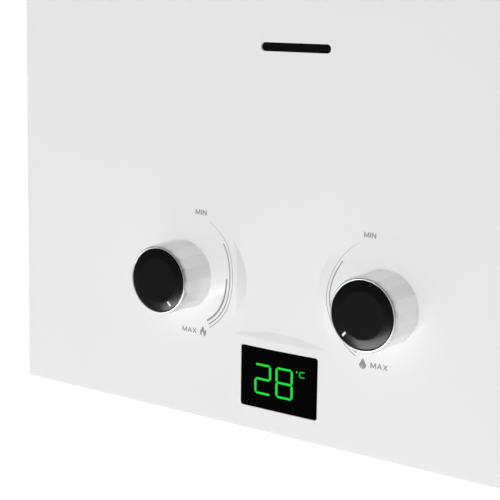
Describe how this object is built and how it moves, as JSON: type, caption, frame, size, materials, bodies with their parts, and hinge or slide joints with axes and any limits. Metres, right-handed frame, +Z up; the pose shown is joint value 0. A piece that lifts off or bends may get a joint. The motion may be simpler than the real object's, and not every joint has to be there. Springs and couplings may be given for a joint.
{
  "type": "tankless gas water heater",
  "caption": "Wall-hung tankless gas water heater: white steel casing with two chrome-skirted knobs and a digital display, holding burner, heat exchanger, valves and pipe nipples.",
  "frame": {"origin": "on the wall plane, midway across the back plate, level with the casing's lower edge", "axes": "+X to the right seen from the front, +Y from the front towards the wall, +Z up"},
  "size_m": [0.29, 0.1445, 0.473],
  "materials": {
    "white_enamel": "glossy baked white enamel",
    "zinc_sheet": "zinc-coated steel sheet",
    "stainless": "brushed stainless sheet",
    "screw_steel": "nickel-plated steel",
    "contact_steel": "plated spring steel",
    "copper": "copper sheet and tube",
    "brass": "turned brass",
    "die_cast": "die-cast alloy",
    "chrome": "bright chrome plate",
    "knob_black": "satin black plastic",
    "pointer_white": "white inlay",
    "display_black": "dark polished lens",
    "black_plastic": "moulded black plastic",
    "white_plastic": "moulded white plastic",
    "rubber": "black rubber",
    "lead_red": "silicone-covered lead",
    "ceramic": "unglazed white ceramic",
    "board_green": "circuit board",
    "led_grey": "moulded grey plastic",
    "cell_can": "wrapped battery can",
    "sight_glass": "heat-proof mica pane"
  },
  "bodies": {
    "casing": {"back_plate": "zinc_sheet", "front_cover": "white_enamel", "top_plate": "zinc_sheet", "bottom_plate": "zinc_sheet", "casing_screws": "screw_steel", "flue_hood": "stainless", "flue_collar": "stainless", "rain_cap": "stainless", "combustion_chamber": "copper", "heat_exchanger_fins": "copper", "heat_exchanger_tube": "copper", "burner_tray": "stainless", "burner_bars": "stainless", "gas_manifold": "die_cast", "gas_nozzles": "brass", "chassis_brackets": "zinc_sheet", "gas_inlet": "brass", "gas_valve_body": "die_cast", "solenoid_valve": "black_plastic", "cold_inlet": "brass", "hot_outlet": "brass", "lock_nuts": "screw_steel", "water_valve_body": "black_plastic", "diaphragm": "rubber", "diaphragm_cover": "black_plastic", "diaphragm_screws": "screw_steel", "cold_pipe": "copper", "hot_pipe": "copper", "microswitch": "black_plastic", "switch_bracket": "zinc_sheet", "igniter_box": "black_plastic", "ignition_electrode": "ceramic", "flame_sensor": "ceramic", "ignition_lead": "lead_red", "limit_thermostat": "stainless", "outlet_sensor": "black_plastic", "display_lens": "display_black", "display_bracket": "white_plastic", "led_module": "led_grey", "display_board": "board_green", "sight_pane": "sight_glass", "battery_box": "white_plastic", "batteries": "cell_can", "battery_contacts": "contact_steel", "door_pin": "screw_steel", "spindle_grommets": "rubber"},
    "gas_knob": {"gas_knob_skirt": "chrome", "gas_knob_cap": "knob_black", "gas_knob_pointer": "pointer_white", "gas_spindle": "brass"},
    "water_knob": {"water_knob_skirt": "chrome", "water_knob_cap": "knob_black", "water_knob_pointer": "pointer_white", "water_spindle": "brass"},
    "push_rod": {"push_rod": "brass"},
    "microswitch_lever": {"microswitch_lever": "screw_steel"},
    "battery_door": {"battery_door": "white_plastic", "door_contacts": "contact_steel"},
    "drain_seal": {"drain_seal": "rubber"},
    "drain_plug": {"drain_plug": "white_plastic"}
  },
  "joints": [
    {"name": "gas_knob_turn", "type": "hinge", "parent": "casing", "child": "gas_knob", "pos_m": [-0.0496, -0.125, 0.063], "axis": [0, -1, 0], "range_deg": [-4, 116]},
    {"name": "water_knob_turn", "type": "hinge", "parent": "casing", "child": "water_knob", "pos_m": [0.0496, -0.125, 0.063], "axis": [0, -1, 0], "range_deg": [-108, 12]},
    {"name": "push_rod_slide", "type": "slide", "parent": "casing", "child": "push_rod", "axis": [-1, 0, 0], "range_m": [0, 0.004], "stiffness_N_per_m": 500, "springref_m": -0.002},
    {"name": "microswitch_lever_turn", "type": "hinge", "parent": "casing", "child": "microswitch_lever", "pos_m": [0, -0.068, 0.08], "axis": [0, 1, 0], "range_deg": [0, 21]},
    {"name": "battery_door_swing", "type": "hinge", "parent": "casing", "child": "battery_door", "pos_m": [0.119, -0.0274, -0.0015], "axis": [1, 0, 0], "range_deg": [0, 90]},
    {"name": "drain_lower", "type": "slide", "parent": "casing", "child": "drain_seal", "axis": [0, 0, -1], "range_m": [0, 0.0025]},
    {"name": "drain_turn", "type": "hinge", "parent": "drain_seal", "child": "drain_plug", "pos_m": [0.06, -0.086, 0], "axis": [0, 0, -1], "range_deg": [0, 720]}
  ],
  "couplings": [
    {"joint": "microswitch_lever_turn", "follows": "push_rod_slide", "rad_per_m": 91},
    {"joint": "drain_lower", "follows": "drain_turn", "m_per_rad": 0.000198}
  ]
}
